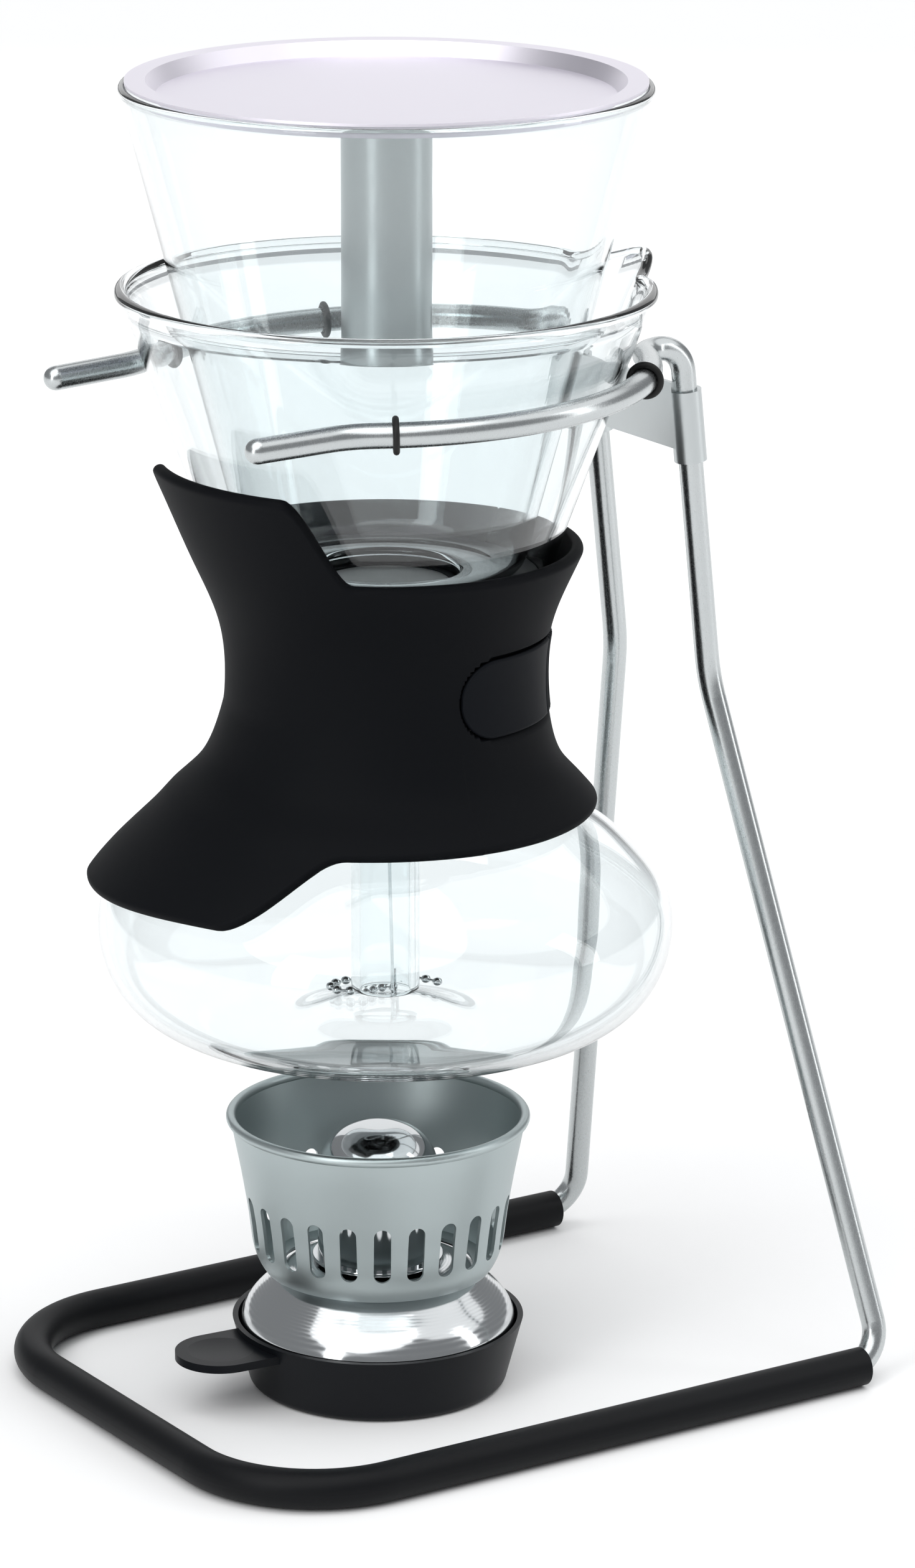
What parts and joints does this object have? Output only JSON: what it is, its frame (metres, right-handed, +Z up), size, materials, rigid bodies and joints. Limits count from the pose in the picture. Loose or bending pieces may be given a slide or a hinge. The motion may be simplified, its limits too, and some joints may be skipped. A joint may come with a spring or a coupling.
{
  "type": "siphon coffee maker",
  "caption": "Vacuum siphon coffee maker: two clear glass bowls hung in a bent steel rod stand with a rubber grip sleeve, lid, sprung filter and a spirit burner below.",
  "frame": {"origin": "table level under the axis of the glass bowls, on the flat bottom of the burner tray", "axes": "+Z up, +X towards the legs at the rear, -X the open front of the fork, -Y the near side"},
  "size_m": [0.2166, 0.1712, 0.381],
  "materials": {
    "rod_steel": "satin",
    "bracket_steel": "satin",
    "foot_rubber": "matte",
    "ring_rubber": "matte",
    "heat_glass": "clear",
    "sleeve_rubber": "matte",
    "strap_rubber": "satin",
    "patch_fabric": "woven",
    "gasket_silicone": "satin",
    "lid_metal": "anodised",
    "tray_rubber": "satin",
    "filter_mesh": "woven mesh",
    "bright_steel": "bright",
    "bead_chain": "bright",
    "satin_steel": "satin",
    "polished_steel": "polished",
    "matt_aluminium": "matt",
    "wick_cotton": "braided"
  },
  "bodies": {
    "stand": {"leg_frame": "rod_steel", "base_tube": "foot_rubber", "arm_near": "rod_steel", "arm_far": "rod_steel", "rear_bracket": "bracket_steel", "arm_ring_near_front": "ring_rubber", "arm_ring_near_rear": "ring_rubber", "arm_ring_far_front": "ring_rubber", "arm_ring_far_rear": "ring_rubber"},
    "carafe": {"lower_bowl": "heat_glass", "grip_sleeve": "sleeve_rubber", "fastening_patch": "patch_fabric"},
    "strap": {"sleeve_strap": "strap_rubber"},
    "brew_bowl": {"upper_bowl": "heat_glass", "bowl_gasket": "gasket_silicone", "filter_hook": "bright_steel", "filter_chain": "bead_chain", "filter_spring": "bright_steel"},
    "filter": {"filter_screen": "filter_mesh", "filter_seal": "gasket_silicone", "filter_frame": "bright_steel"},
    "lid": {"lid_plate": "lid_metal", "lid_tube": "satin_steel"},
    "burner": {"burner_tray": "tray_rubber", "tank_bottom": "satin_steel", "fuel_tank": "polished_steel", "wick_collar": "polished_steel", "wick_tube": "polished_steel"},
    "wick_core": {"wick": "wick_cotton"},
    "shield": {"windshield": "matt_aluminium"},
    "cap": {"snuffer_cap": "polished_steel", "cap_liner": "satin_steel"}
  },
  "joints": [
    {"name": "carafe_lift", "type": "slide", "parent": "stand", "child": "carafe", "axis": [0, 0, 1], "range_m": [0, 0.068]},
    {"name": "upper_bowl_lift", "type": "slide", "parent": "carafe", "child": "brew_bowl", "axis": [0, 0, 1], "range_m": [0, 0.215]},
    {"name": "lid_lift", "type": "slide", "parent": "brew_bowl", "child": "lid", "axis": [0, 0, 1], "range_m": [0, 0.09]},
    {"name": "filter_pull", "type": "slide", "parent": "brew_bowl", "child": "filter", "axis": [0, 0, 1], "range_m": [0, 0.012], "stiffness_N_per_m": 80, "springref_m": -0.006, "deforming": ["filter_spring"]},
    {"name": "strap_peel", "type": "hinge", "parent": "carafe", "child": "strap", "pos_m": [0.04662, 0.00408, 0.2137], "axis": [0, 0, 1], "range_deg": [0, 50]},
    {"name": "burner_slide", "type": "slide", "parent": "stand", "child": "burner", "axis": [1, 0, 0], "range_m": [0, 0.19]},
    {"name": "windshield_lift", "type": "slide", "parent": "burner", "child": "shield", "axis": [0, 0, 1], "range_m": [0, 0.018]},
    {"name": "cap_lift", "type": "slide", "parent": "burner", "child": "cap", "axis": [0, 0, 1], "range_m": [0, 0.025]},
    {"name": "wick_slide", "type": "slide", "parent": "burner", "child": "wick_core", "axis": [0, 0, 1], "range_m": [0, 0.006]}
  ]
}
